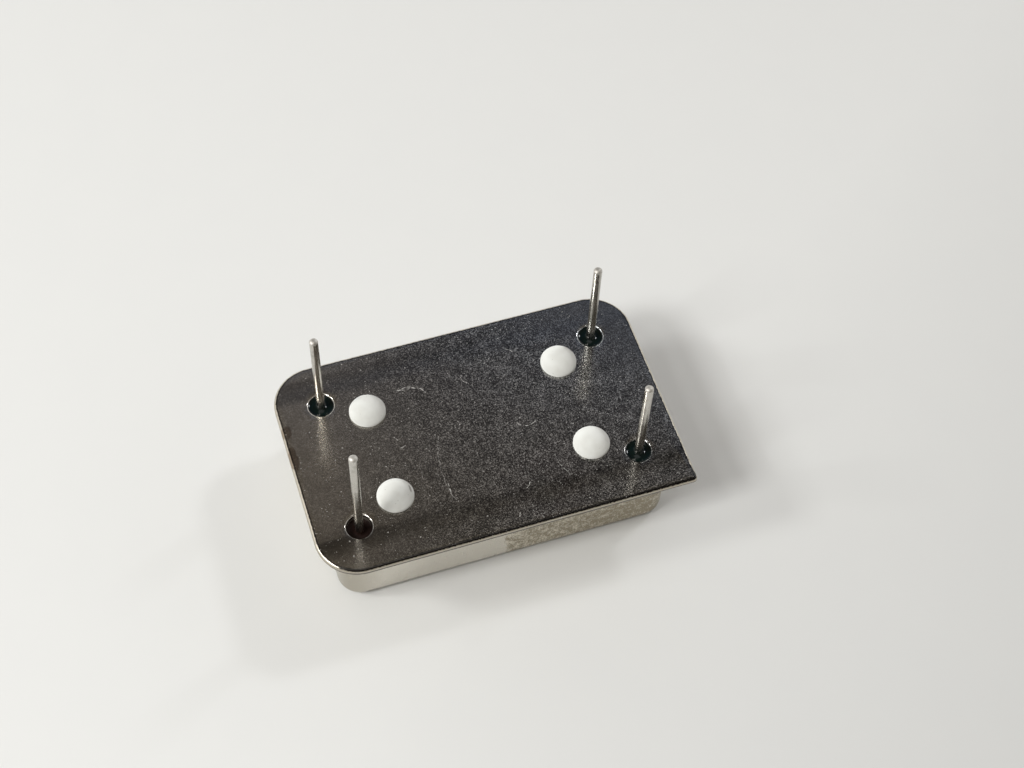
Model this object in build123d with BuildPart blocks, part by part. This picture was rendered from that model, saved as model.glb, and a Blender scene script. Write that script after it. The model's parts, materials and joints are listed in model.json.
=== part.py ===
# Metal-can crystal oscillator in the full-size four-pin outline that shares the fourteen-pin
# dual-in-line grid. It lies as it is put down on a bench: can face down, pins up.
# Millimetres. +Z is up, +X runs along the long side, and the origin is on the bench, below the middle
# of the pin grid. Pins 1 and 7 are on the near (-Y) row, pins 8 and 14 on the far row.

import os

from build123d import *

# Pin grid, the pattern that a circuit board is drilled for
grid_x = 15.24
grid_y = 7.62

# Header: the thick base plate with a coined rim, a square index corner by pin 1 and sealed pin holes
body_h = 4.85               # from the can's face to the header's outer face
end_margin = 2.43           # pin axis to the header's short edge
side_margin = 2.54          # pin axis to the header's long edge
header_corner_r = 2.25
index_corner_r = 0.25
rim_t = 0.3
platform_t = 0.6            # how far the platform stands into the can
platform_clear = 0.2        # platform to the can's wall
header_bevel = 0.06         # bevel of the stamped outer edge
hole_d = 1.34
hole_bevel = 0.08           # bevel of each hole's outer edge

# Can: one drawn sheet with a welded flange
can_t = 0.25
flange_out = 0.88           # flange beyond the can's wall
flange_inset = 0.08         # flange edge behind the header's edge
can_corner_r = 1.25
can_face_r = 0.7            # outside radius where the wall turns into the face
bend_r = 0.15               # outside radius where the wall turns into the flange

# Pins
pin_d = 0.46
pin_reach = 6.15            # from the header's outer face to the tip
ground_pin_reach = 7.0
pin_tip_r = 0.16
plating_t = 0.005           # plate on the free length, which the sealed length lacks
pin_tail = 0.12             # below the solder, inside the can

# Glass seals of the live pins and the braze of the ground pin, as depths below the header's outer face
seal_wall_drop = 0.12
seal_sag_drop = 0.17
seal_pin_drop = 0.03
braze_wall_drop = 0.42
braze_sag_drop = 0.47
braze_pin_drop = 0.3

# Standoffs: white beads that keep the header clear of the board
standoff_d = 1.95
standoff_side = 0.15        # upright foot of the bead
standoff_crown = 0.65       # dome above it
standoff_from_pin_x = 2.25
standoff_from_pin_y = 1.13

# Circuit substrate, soldered on the pins' inner ends
substrate_t = 0.5
substrate_gap = 0.35        # header's inner face to the substrate
substrate_clear = 0.4       # substrate to the can's wall
solder_gap = 0.07           # pin to the substrate's bore
solder_out = 0.3            # solder beyond the bore
solder_h = 0.35

# Quartz blank on two bent clips
blank_d = 8.0
blank_t = 0.18
blank_drop = 0.9            # substrate to the blank
clip_t = 0.12
clip_w = 1.6
clip_bend_r = 0.1
clip_foot = 0.9
clip_shelf_out = 0.45       # clip's upright beyond the blank's edge
clip_shelf_in = 0.5         # clip's shelf under the blank
clip_end_margin = 0.6       # clip's foot to the substrate's end
bead_d = 0.7                # dab of adhesive over the blank's edge
bead_h = 0.12               # adhesive over the blank's free face

# Oscillator chip, its bond wires and the bypass capacitor
chip_l = 1.7
chip_w = 1.5
chip_t = 0.3
chip_from_end = 2.9         # chip's middle to the substrate's +X end
chip_y = -1.2
pad_pitch = 0.5
pad_inset = 0.15            # wire's first bond to the chip's edge
pad_out = 0.55              # wire's second bond to the chip's edge
wires_per_side = 3
wire_d = 0.04
wire_sides = 6
wire_rise = 0.25            # how far a loop stands off the chip
cap_l = 1.9
cap_w = 1.25
cap_t = 0.85
cap_gap = 1.6               # capacitor to the nearest bond
terminal_t = 0.05
terminal_l = 0.4

# Sizes that follow
header_l = grid_x + 2 * end_margin
header_w = grid_y + 2 * side_margin
pin_r = pin_d / 2
wire_r = pin_r - plating_t
plate_z = body_h - seal_pin_drop
hole_r = hole_d / 2
standoff_r = standoff_d / 2
standoff_z = body_h + standoff_side
rim_z = body_h - rim_t
inner_z = rim_z - platform_t
flange_l = header_l - 2 * flange_inset
flange_w = header_w - 2 * flange_inset
can_l = flange_l - 2 * flange_out
can_w = flange_w - 2 * flange_out
cavity_l = can_l - 2 * can_t
cavity_w = can_w - 2 * can_t
cavity_corner_r = can_corner_r - can_t
face_bevel = (can_face_r - can_t) * (2 - 2 ** 0.5)  # both keep the sheet's thickness across the bend
mouth_bevel = (bend_r + can_t) * (2 - 2 ** 0.5)
substrate_l = cavity_l - 2 * substrate_clear
substrate_w = cavity_w - 2 * substrate_clear
substrate_top = inner_z - substrate_gap
substrate_z = substrate_top - substrate_t
bore_r = wire_r + solder_gap
foot_z = substrate_z - solder_h - pin_tail
blank_top = substrate_z - blank_drop
blank_z = blank_top - blank_t
clip_reach = clip_shelf_out + clip_foot
blank_x = -substrate_l / 2 + clip_end_margin + clip_reach + blank_d / 2
chip_x = substrate_l / 2 - chip_from_end
chip_z = substrate_z - chip_t

# Pin number to its place and its reach
pins = {
    1: (grid_x / 2, -grid_y / 2, pin_reach),
    7: (-grid_x / 2, -grid_y / 2, ground_pin_reach),
    8: (-grid_x / 2, grid_y / 2, pin_reach),
    14: (grid_x / 2, grid_y / 2, pin_reach),
}
ground_pin = 7
pin_places = [(x, y) for x, y, reach in pins.values()]


def write(piece, node):
    """Label a finished piece and write its file."""
    piece.label = node
    export_step(piece, f"parts/{node}.step")


def upright(x, y):
    """The plane through a pin's axis, with its own y upwards, for turned profiles."""
    return Plane((x, y, 0), x_dir=(1, 0, 0), z_dir=(0, -1, 0))


def level_faces(builder):
    """The flat, level faces of a piece, lowest first."""
    return builder.faces().filter_by(Plane.XY).sort_by(Axis.Z)


def fill_hole(node, x, y, wall_drop, sag_drop, pin_drop):
    """A ring of glass or braze between a pin and its hole, with a sunken outer surface."""
    with BuildPart() as ring:
        with BuildSketch(upright(x, y)):
            with BuildLine():
                wall_top = (hole_r, body_h - wall_drop)
                sag = ((hole_r + wire_r) / 2, body_h - sag_drop)
                pin_top = (wire_r, body_h - pin_drop)
                Polyline(wall_top, sag, pin_top, (wire_r, inner_z), (hole_r, inner_z), close=True)
            make_face()
        revolve(axis=Axis((x, y, 0), (0, 0, 1)))
    write(ring.part, node)


os.makedirs("parts", exist_ok=True)

# Header
with BuildPart() as header:
    with BuildSketch(Plane.XY.offset(rim_z)) as rim:
        Rectangle(header_l, header_w)
        index_corner = (header_l / 2, -header_w / 2)
        fillet(rim.vertices().sort_by_distance(index_corner)[1:], header_corner_r)
        fillet(rim.vertices().sort_by_distance(index_corner)[0], index_corner_r)
    extrude(amount=rim_t)
    with BuildSketch(Plane.XY.offset(rim_z)):
        RectangleRounded(
            cavity_l - 2 * platform_clear, cavity_w - 2 * platform_clear, cavity_corner_r - platform_clear
        )
    extrude(amount=-platform_t)
    chamfer(level_faces(header)[-1].edges(), header_bevel)
    with BuildSketch(Plane.XY.offset(body_h)):
        with Locations(*pin_places):
            Circle(hole_r)
    extrude(amount=-(rim_t + platform_t), mode=Mode.SUBTRACT)
    chamfer(level_faces(header)[-1].inner_wires().edges(), hole_bevel)
write(header.part, "header")

# Can
with BuildPart() as can:
    with BuildSketch():
        RectangleRounded(can_l, can_w, can_corner_r)
    extrude(amount=rim_z)
    fillet(level_faces(can)[0].edges(), can_face_r)
    with BuildSketch(Plane.XY.offset(rim_z)):
        RectangleRounded(flange_l, flange_w, header_corner_r - flange_inset)
    extrude(amount=-can_t)
    fillet(level_faces(can)[1].inner_wires().edges(), bend_r)
    with BuildSketch(Plane.XY.offset(rim_z)):
        RectangleRounded(cavity_l, cavity_w, cavity_corner_r)
    extrude(amount=-(rim_z - can_t), mode=Mode.SUBTRACT)
    chamfer(level_faces(can)[1].edges(), face_bevel)
    chamfer(level_faces(can)[-1].inner_wires().edges(), mouth_bevel)
write(can.part, "can")

# Pins, with what holds each one in the header and in the substrate, and the bead beside it
for number, (x, y, reach) in pins.items():
    tip_z = body_h + reach
    with BuildPart() as pin:
        with BuildSketch(upright(x, y)):
            with BuildLine():
                round_top = (pin_r - pin_tip_r, tip_z)
                round_side = (pin_r, tip_z - pin_tip_r)
                TangentArc(round_top, round_side, tangent=(1, 0))
                Polyline(round_side, (pin_r, plate_z), (wire_r, plate_z), (wire_r, foot_z), (0, foot_z))
                Polyline((0, foot_z), (0, tip_z), round_top)
            make_face()
        revolve(axis=Axis((x, y, 0), (0, 0, 1)))
    write(pin.part, f"pin_{number}")

    if number == ground_pin:
        fill_hole(f"ground_braze_{number}", x, y, braze_wall_drop, braze_sag_drop, braze_pin_drop)
    else:
        fill_hole(f"glass_seal_{number}", x, y, seal_wall_drop, seal_sag_drop, seal_pin_drop)

    with BuildPart() as solder:
        with BuildSketch(upright(x, y)):
            with BuildLine():
                toe = (bore_r + solder_out, substrate_z)
                crest = (wire_r, substrate_z - solder_h)
                Polyline(crest, (wire_r, substrate_z), toe, close=True)
            make_face()
        revolve(axis=Axis((x, y, 0), (0, 0, 1)))
    write(solder.part, f"pin_solder_{number}")

    standoff_x = x - standoff_from_pin_x if x > 0 else x + standoff_from_pin_x
    standoff_y = y - standoff_from_pin_y if y > 0 else y + standoff_from_pin_y
    with BuildPart() as standoff:
        with BuildSketch(upright(standoff_x, standoff_y)):
            with BuildLine():
                summit = (0, standoff_z + standoff_crown)
                dome_edge = (standoff_r, standoff_z)
                TangentArc(summit, dome_edge, tangent=(1, 0))
                Polyline(dome_edge, (standoff_r, body_h), (0, body_h), summit)
            make_face()
        revolve(axis=Axis((standoff_x, standoff_y, 0), (0, 0, 1)))
    write(standoff.part, f"standoff_{number}")

# Substrate
with BuildPart() as substrate:
    with BuildSketch(Plane.XY.offset(substrate_z)):
        Rectangle(substrate_l, substrate_w)
        with Locations(*pin_places):
            Circle(bore_r, mode=Mode.SUBTRACT)
    extrude(amount=substrate_t)
write(substrate.part, "substrate")

# Quartz blank
with BuildPart() as blank:
    with BuildSketch(Plane.XY.offset(blank_z)):
        with Locations((blank_x, 0)):
            Circle(blank_d / 2)
    extrude(amount=blank_t)
write(blank.part, "quartz_blank")

# Clips that carry the blank by its edge, and the adhesive that holds it on them
for side, hand in (("left", -1), ("right", 1)):
    rim_x = blank_x + hand * blank_d / 2
    with BuildPart() as clip:
        with BuildLine(Plane.XZ) as strip:
            FilletPolyline(
                (rim_x + hand * (clip_shelf_out + clip_foot), substrate_z - clip_t / 2),
                (rim_x + hand * clip_shelf_out, substrate_z - clip_t / 2),
                (rim_x + hand * clip_shelf_out, blank_top + clip_t / 2),
                (rim_x - hand * clip_shelf_in, blank_top + clip_t / 2),
                radius=clip_bend_r,
            )
        with BuildSketch(Plane(strip.line @ 0, x_dir=(0, 1, 0), z_dir=strip.line % 0)):
            Rectangle(clip_w, clip_t)
        sweep()
    write(clip.part, f"blank_clip_{side}")

    with BuildPart() as bead:
        with BuildSketch(Plane.XY.offset(blank_top)):
            with Locations((rim_x, 0)):
                Circle(bead_d / 2)
        extrude(amount=-(blank_t + bead_h))
        with BuildSketch(Plane.XY.offset(blank_top)):
            with Locations((blank_x, 0)):
                Circle(blank_d / 2)
        extrude(amount=-blank_t, mode=Mode.SUBTRACT)
    write(bead.part, f"adhesive_{side}")

# Oscillator chip
with BuildPart() as chip:
    with BuildSketch(Plane.XY.offset(chip_z)):
        with Locations((chip_x, chip_y)):
            Rectangle(chip_l, chip_w)
    extrude(amount=chip_t)
write(chip.part, "oscillator_chip")

# Bond wires from the chip to the substrate, looped over the chip's two long edges
with BuildPart() as wires:
    for hand in (-1, 1):
        first_y = chip_y + hand * (chip_w / 2 - pad_inset)
        last_y = chip_y + hand * (chip_w / 2 + pad_out)
        loop_z = chip_z - wire_rise
        for column in range(wires_per_side):
            wire_x = chip_x + (column - (wires_per_side - 1) / 2) * pad_pitch
            with BuildLine() as loop:
                Polyline(
                    (wire_x, first_y, chip_z),
                    (wire_x, first_y, loop_z),
                    (wire_x, last_y, loop_z),
                    (wire_x, last_y, substrate_z),
                )
            with BuildSketch(Plane.XY.offset(chip_z)):
                with Locations((wire_x, first_y)):
                    RegularPolygon(wire_d / 2, wire_sides)
            sweep(path=loop.wire(), transition=Transition.RIGHT)
write(wires.part, "bond_wires")

# Bypass capacitor and its two end terminals, on the far side of the chip
cap_x = chip_x
cap_y = chip_y + chip_w / 2 + pad_out + cap_gap + cap_w / 2
cap_top = substrate_z - terminal_t
with BuildPart() as capacitor:
    with BuildSketch(Plane.XY.offset(cap_top)):
        with Locations((cap_x, cap_y)):
            Rectangle(cap_l, cap_w)
    extrude(amount=-cap_t)
write(capacitor.part, "bypass_capacitor")

with BuildPart() as terminals:
    with BuildSketch(Plane.XY.offset(substrate_z)):
        for hand in (-1, 1):
            with Locations((cap_x + hand * (cap_l / 2 + terminal_t - terminal_l / 2), cap_y)):
                Rectangle(terminal_l, cap_w + 2 * terminal_t)
    extrude(amount=-(cap_t + 2 * terminal_t))
    with BuildSketch(Plane.XY.offset(cap_top)):
        with Locations((cap_x, cap_y)):
            Rectangle(cap_l, cap_w)
    extrude(amount=-cap_t, mode=Mode.SUBTRACT)
write(terminals.part, "capacitor_terminals")
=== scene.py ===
import json
import math

import bmesh
import bpy
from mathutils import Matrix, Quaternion, Vector
from mathutils.geometry import delaunay_2d_cdt


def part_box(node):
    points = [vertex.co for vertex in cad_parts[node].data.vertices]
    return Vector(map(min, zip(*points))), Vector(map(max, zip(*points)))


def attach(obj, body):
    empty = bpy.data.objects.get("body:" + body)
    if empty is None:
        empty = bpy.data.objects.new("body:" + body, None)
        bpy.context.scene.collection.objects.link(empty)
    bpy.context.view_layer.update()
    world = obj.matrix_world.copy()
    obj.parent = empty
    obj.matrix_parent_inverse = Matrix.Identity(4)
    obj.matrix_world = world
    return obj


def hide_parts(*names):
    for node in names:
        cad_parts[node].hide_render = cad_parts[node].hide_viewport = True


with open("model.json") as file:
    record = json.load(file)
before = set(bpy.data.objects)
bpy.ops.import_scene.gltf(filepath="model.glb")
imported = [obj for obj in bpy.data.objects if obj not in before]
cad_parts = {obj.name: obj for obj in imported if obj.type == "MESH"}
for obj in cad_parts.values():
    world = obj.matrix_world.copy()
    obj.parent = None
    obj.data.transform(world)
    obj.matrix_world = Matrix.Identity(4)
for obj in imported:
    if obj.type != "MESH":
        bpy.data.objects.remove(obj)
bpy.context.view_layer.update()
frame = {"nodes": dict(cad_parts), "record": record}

# A metal-can crystal oscillator lying on its can, pins up. Metres, in the CAD frame.
mm = 0.001
record = frame["record"]
scene = bpy.context.scene
scene.view_settings.view_transform = "Standard"

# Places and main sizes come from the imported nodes
headerLow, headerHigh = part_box("header")
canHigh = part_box("can")[1]
pinLow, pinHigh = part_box("pin_1")
groundLow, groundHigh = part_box("pin_7")
sealLow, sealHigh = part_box("glass_seal_1")
beadLow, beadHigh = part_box("standoff_1")
blankLow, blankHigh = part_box("quartz_blank")

faceZ = headerHigh.z        # header's outer face
rimZ = canHigh.z            # where the flange meets the header
innerZ = headerLow.z        # header's inner face
pinSpot = (pinLow + pinHigh) / 2
beadSpot = (beadLow + beadHigh) / 2
groundSpot = (groundLow + groundHigh) / 2
pinRadius = (pinHigh.x - pinLow.x) / 2
holeRadius = (sealHigh.x - sealLow.x) / 2
beadRadius = (beadHigh.x - beadLow.x) / 2
pinNumbers = (1, 7, 8, 14)
livePins = (1, 8, 14)
black = (0.0, 0.0, 0.0)
white = (1.0, 1.0, 1.0)


# Mesh helpers

def roundedLoop(halfX, halfY, radii, steps):
    # corner radii run anticlockwise from the +X +Y corner
    points = []
    for corner, radius in enumerate(radii):
        signX = 1 if corner in (0, 3) else -1
        signY = 1 if corner in (0, 1) else -1
        for step in range(steps + 1):
            angle = (corner + step / steps) * math.pi / 2
            x = signX * (halfX - radius) + radius * math.cos(angle)
            y = signY * (halfY - radius) + radius * math.sin(angle)
            points.append(Vector((x, y)))
    return points


def depthInside(loop, point):
    # how far a point lies inside a convex loop that runs anticlockwise
    sides = zip(loop, loop[1:] + loop[:1])
    return min((end - start).normalized().cross(point - start) for start, end in sides)


def circleLoop(centre, radius, steps):
    turns = [2 * math.pi * step / steps for step in range(steps)]
    return [centre + radius * Vector((math.cos(turn), math.sin(turn))) for turn in turns]


def loopEdges(first, count):
    return [(first + i, first + (i + 1) % count) for i in range(count)]


def quarter(start, end, steps, bulge):
    # quarter of an ellipse from start to end; bulge says which way it leaves: "out" or "up"
    points = []
    for step in range(1, steps + 1):
        angle = step / steps * math.pi / 2
        along, across = math.sin(angle), 1 - math.cos(angle)
        first, second = (along, across) if bulge == "out" else (across, along)
        points.append((start[0] + (end[0] - start[0]) * first, start[1] + (end[1] - start[1]) * second))
    return points


def addRing(bm, points):
    return [bm.verts.new(point) for point in points]


def skinRings(bm, rings, closed=False):
    pairs = list(zip(rings, rings[1:]))
    if closed:
        pairs.append((rings[-1], rings[0]))
    for lower, upper in pairs:
        for i in range(len(lower)):
            j = (i + 1) % len(lower)
            bm.faces.new((lower[i], lower[j], upper[j], upper[i]))


def webFaces(bm, verts, edges, holes, openRadius):
    # triangles between the vertices, seen from above, leaving round holes open
    found = delaunay_2d_cdt([vert.co.to_2d() for vert in verts], edges, [], 0, 1e-9)
    corners, triangles, origins = found[0], found[2], found[3]
    for triangle in triangles:
        middle = sum((corners[i] for i in triangle), Vector((0, 0))) / 3
        if all((middle - hole).length > openRadius for hole in holes):
            bm.faces.new([verts[origins[i][0]] for i in triangle])


def finishPiece(name, bm, sharpAngle=35):
    bmesh.ops.remove_doubles(bm, verts=bm.verts, dist=1e-9)
    bmesh.ops.recalc_face_normals(bm, faces=bm.faces)
    mesh = bpy.data.meshes.new(name)
    bm.to_mesh(mesh)
    bm.free()
    mesh.shade_smooth()
    mesh.set_sharp_from_angle(angle=math.radians(sharpAngle))
    piece = bpy.data.objects.new(name, mesh)
    scene.collection.objects.link(piece)
    return piece


def turned(name, profile, steps, ring=False):
    # profile is (radius, z) pairs; radius zero at either end closes on the axis
    bm = bmesh.new()
    rings, poles = [], []
    for radius, z in profile:
        if radius < 1e-9:
            poles.append((bm.verts.new((0, 0, z)), len(rings)))
            continue
        around = circleLoop(Vector((0, 0)), radius, steps)
        rings.append(addRing(bm, [(p.x, p.y, z) for p in around]))
    skinRings(bm, rings, closed=ring)
    for pole, place in poles:
        edge = rings[0] if place == 0 else rings[-1]
        for i in range(steps):
            bm.faces.new((edge[i], edge[(i + 1) % steps], pole))
    return finishPiece(name, bm)


# Node helpers, for materials, the world and geometry trees alike

def addNode(tree, kind, inputs=None, **settings):
    node = tree.nodes.new(kind)
    for key, value in settings.items():
        setattr(node, key, value)
    for key, value in (inputs or {}).items():
        if isinstance(value, bpy.types.NodeSocket):
            tree.links.new(value, node.inputs[key])
        else:
            node.inputs[key].default_value = value
    return node


def maths(tree, operation, first, second=0.0, third=0.0):
    inputs = {0: first, 1: second, 2: third}
    return addNode(tree, "ShaderNodeMath", inputs, operation=operation).outputs[0]


def vectorMaths(tree, operation, first, second=(0, 0, 0), output="Vector"):
    node = addNode(tree, "ShaderNodeVectorMath", {0: first, 1: second}, operation=operation)
    return node.outputs[output]


def lengthOf(tree, vector):
    return vectorMaths(tree, "LENGTH", vector, output="Value")


def splitUp(tree, vector):
    return addNode(tree, "ShaderNodeSeparateXYZ", {0: vector}).outputs


def ranged(tree, value, low, high, toLow=0.0, toHigh=1.0, smooth=False):
    kind = "SMOOTHSTEP" if smooth else "LINEAR"
    inputs = {"Value": value, "From Min": low, "From Max": high, "To Min": toLow, "To Max": toHigh}
    return addNode(tree, "ShaderNodeMapRange", inputs, interpolation_type=kind).outputs["Result"]


def mixed(tree, factor, first, second, blend="MIX"):
    node = addNode(tree, "ShaderNodeMix", data_type="RGBA", blend_type=blend)
    for key, value in ((0, factor), (6, first), (7, second)):
        if isinstance(value, bpy.types.NodeSocket):
            tree.links.new(value, node.inputs[key])
        else:
            node.inputs[key].default_value = value if key == 0 else (*value, 1.0)
    return node.outputs[2]


def noise(tree, place, size, detail=2.0, roughness=0.5):
    inputs = {"Vector": place, "Scale": 1 / size, "Detail": detail, "Roughness": roughness}
    return addNode(tree, "ShaderNodeTexNoise", inputs).outputs["Fac"]


def patchy(tree, place, size, low, high, detail=2.0):
    # noise cut to a range: bare below it, full above
    return ranged(tree, noise(tree, place, size, detail), low, high)


def uneven(tree, place, size, amount, detail=2.0):
    # noise about zero
    return maths(tree, "MULTIPLY_ADD", noise(tree, place, size, detail), amount, -amount / 2)


def roughened(tree, texture, low, high):
    # most of a noise lies between 0.3 and 0.7
    return ranged(tree, texture, 0.3, 0.7, low, high)


def dots(tree, place, spacing, radius, share):
    # sparse round specks: one cell in so many holds one
    cells = addNode(tree, "ShaderNodeTexVoronoi", {"Vector": place, "Scale": 1 / spacing})
    chosen = addNode(tree, "ShaderNodeSeparateColor", {"Color": cells.outputs["Color"]})
    held = maths(tree, "LESS_THAN", chosen.outputs["Red"], share)
    inside = ranged(tree, cells.outputs["Distance"], radius / spacing, 0.5 * radius / spacing)
    return maths(tree, "MULTIPLY", held, inside)


def bumped(tree, height, depth, under=None):
    inputs = {"Height": height, "Distance": depth, "Strength": 1.0}
    if under is not None:
        inputs["Normal"] = under
    return addNode(tree, "ShaderNodeBump", inputs).outputs["Normal"]


def newFinish(name, metallic=0.0, roughness=0.5):
    material = bpy.data.materials.new(name)
    material.use_nodes = True
    tree = material.node_tree
    shader = tree.nodes["Principled BSDF"]
    shader.inputs["Metallic"].default_value = metallic
    shader.inputs["Roughness"].default_value = roughness
    place = addNode(tree, "ShaderNodeTexCoord").outputs["Object"]
    return material, tree, shader, place


def plug(tree, shader, **sockets):
    for name, socket in sockets.items():
        tree.links.new(socket, shader.inputs[name.replace("_", " ")])


# A fine curved mark on a level face: part of a circle through three points, as a mask

def buildHairMark():
    group = bpy.data.node_groups.new("hairMark", "ShaderNodeTree")
    for name, kind in (("Place", "Vector"), ("Centre", "Vector"), ("Facing", "Vector"),
                       ("Radius", "Float"), ("Spread", "Float"), ("Width", "Float")):
        group.interface.new_socket(name, in_out="INPUT", socket_type="NodeSocket" + kind)
    group.interface.new_socket("Mask", in_out="OUTPUT", socket_type="NodeSocketFloat")
    given = group.nodes.new("NodeGroupInput").outputs
    away = vectorMaths(group, "SUBTRACT", given["Place"], given["Centre"])
    reach = lengthOf(group, away)
    off = maths(group, "ABSOLUTE", maths(group, "SUBTRACT", reach, given["Radius"]))
    line = ranged(group, off, given["Width"], 0.0)
    heading = vectorMaths(group, "NORMALIZE", away)
    heading = vectorMaths(group, "DOT_PRODUCT", heading, given["Facing"], "Value")
    within = maths(group, "GREATER_THAN", heading, given["Spread"])
    out = group.nodes.new("NodeGroupOutput")
    group.links.new(maths(group, "MULTIPLY", line, within), out.inputs["Mask"])
    return group


def circleThrough(a, b, c):
    d = 2 * (a.x * (b.y - c.y) + b.x * (c.y - a.y) + c.x * (a.y - b.y))
    aa, bb, cc = a.length_squared, b.length_squared, c.length_squared
    x = (aa * (b.y - c.y) + bb * (c.y - a.y) + cc * (a.y - b.y)) / d
    y = (aa * (c.x - b.x) + bb * (a.x - c.x) + cc * (b.x - a.x)) / d
    return Vector((x, y))


def hairMasks(tree, place, marks, width):
    total = 0.0
    for strength, *points in marks:
        a, b, c = (Vector(point) * mm for point in points)
        centre = circleThrough(a, b, c)
        facing = (b - centre).normalized()
        ends = min(facing.dot((a - centre).normalized()), facing.dot((c - centre).normalized()))
        inputs = {"Place": place, "Centre": (*centre, 0), "Facing": (*facing, 0),
                  "Radius": (a - centre).length, "Spread": ends, "Width": width}
        mark = addNode(tree, "ShaderNodeGroup", inputs, node_tree=hairMark)
        total = maths(tree, "MULTIPLY_ADD", mark.outputs["Mask"], strength, total)
    return total


hairMark = buildHairMark()

# Header: stamped plate with rolled edges, a square index corner, coined long sides and rolled pin holes

headerLook = {
    "cornerRadius": 2.25 * mm,
    "indexRadius": 0.25 * mm,
    "edgeRoll": 0.17 * mm,
    "underRoll": 0.04 * mm,
    "holeRoll": 0.11 * mm,
    "rollSteps": 8,
    "cornerSteps": 20,
    "holeSteps": 56,
    "gridStep": 0.3 * mm,
    "clearOfLoops": 0.12 * mm,
    "coinStart": 4.2 * mm,          # where the long sides begin to fall away
    "coinEnd": 5.3 * mm,
    "coinDrop": 0.018 * mm,
    "platformHalf": (8.64 * mm, 4.94 * mm),
    "platformRadius": 0.8 * mm,
}


def faceHeight(point):
    look = headerLook
    t = (abs(point.y) - look["coinStart"]) / (look["coinEnd"] - look["coinStart"])
    t = max(0.0, min(1.0, t))
    return faceZ - look["coinDrop"] * t * t * (3 - 2 * t)


def makeHeader():
    look = headerLook
    half = (headerHigh - headerLow) / 2
    holeRoll = look["holeRoll"]
    holes = [Vector((x * pinSpot.x, y * pinSpot.y)) for x in (-1, 1) for y in (-1, 1)]

    def rimLoop(inset):
        radii = [look["cornerRadius"] - inset] * 3 + [look["indexRadius"] - inset]
        return roundedLoop(half.x - inset, half.y - inset, radii, look["cornerSteps"])

    # outer face: its outline, the four hole edges and a grid of points between them
    loops = [rimLoop(look["edgeRoll"])]
    loops += [circleLoop(hole, holeRadius + holeRoll, look["holeSteps"]) for hole in holes]
    points, edges, starts = [], [], []
    for loop in loops:
        starts.append(len(points))
        edges += loopEdges(len(points), len(loop))
        points += loop
    free = look["clearOfLoops"]
    columns = int((half.x - free) / look["gridStep"])
    rows = int((half.y - free) / look["gridStep"])
    for column in range(-columns, columns + 1):
        for row in range(-rows, rows + 1):
            point = Vector((column, row)) * look["gridStep"]
            fromHole = min((point - hole).length for hole in holes) - holeRadius - holeRoll
            if min(fromHole, depthInside(loops[0], point)) > free:
                points.append(point)

    bm = bmesh.new()
    face = [bm.verts.new((p.x, p.y, faceHeight(p))) for p in points]
    webFaces(bm, face, edges, holes, holeRadius + holeRoll)
    onLoop = [face[start:start + len(loop)] for start, loop in zip(starts, loops)]

    def level(loop, z):
        return addRing(bm, [(p.x, p.y, z) for p in loop])

    # outside: rolled edge, rim, rolled lower edge, underside and platform
    rings = [onLoop[0]]
    steps = look["rollSteps"]
    for step in range(1, steps + 1):
        angle = step / steps * math.pi / 2
        loop = rimLoop(look["edgeRoll"] * (1 - math.sin(angle)))
        drop = look["edgeRoll"] * (1 - math.cos(angle))
        rings.append(addRing(bm, [(p.x, p.y, faceHeight(p) - drop) for p in loop]))
    under = look["underRoll"]
    rings.append(level(rimLoop(0), rimZ + under))
    for inset, z in quarter((0, rimZ + under), (under, rimZ), steps, "up"):
        rings.append(level(rimLoop(inset), z))
    platform = roundedLoop(*look["platformHalf"], [look["platformRadius"]] * 4, look["cornerSteps"])
    rings.append(level(platform, rimZ))
    rings.append(level(platform, innerZ))
    skinRings(bm, rings)

    # holes: rolled edge and wall
    bores = []
    for hole, edge in zip(holes, onLoop[1:]):
        walls = [edge]
        for step in range(1, steps + 1):
            angle = step / steps * math.pi / 2
            radius = holeRadius + holeRoll * (1 - math.sin(angle))
            loop = circleLoop(hole, radius, look["holeSteps"])
            drop = holeRoll * (1 - math.cos(angle))
            walls.append(addRing(bm, [(p.x, p.y, faceHeight(p) - drop) for p in loop]))
        walls.append(level(circleLoop(hole, holeRadius, look["holeSteps"]), innerZ))
        skinRings(bm, walls)
        bores.append(walls[-1])

    # inner face, with the same holes
    inner = [rings[-1], *bores]
    flat, edges = [], []
    for ring in inner:
        edges += loopEdges(len(flat), len(ring))
        flat += ring
    webFaces(bm, flat, edges, holes, holeRadius)
    return finishPiece("header_plate", bm)


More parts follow.
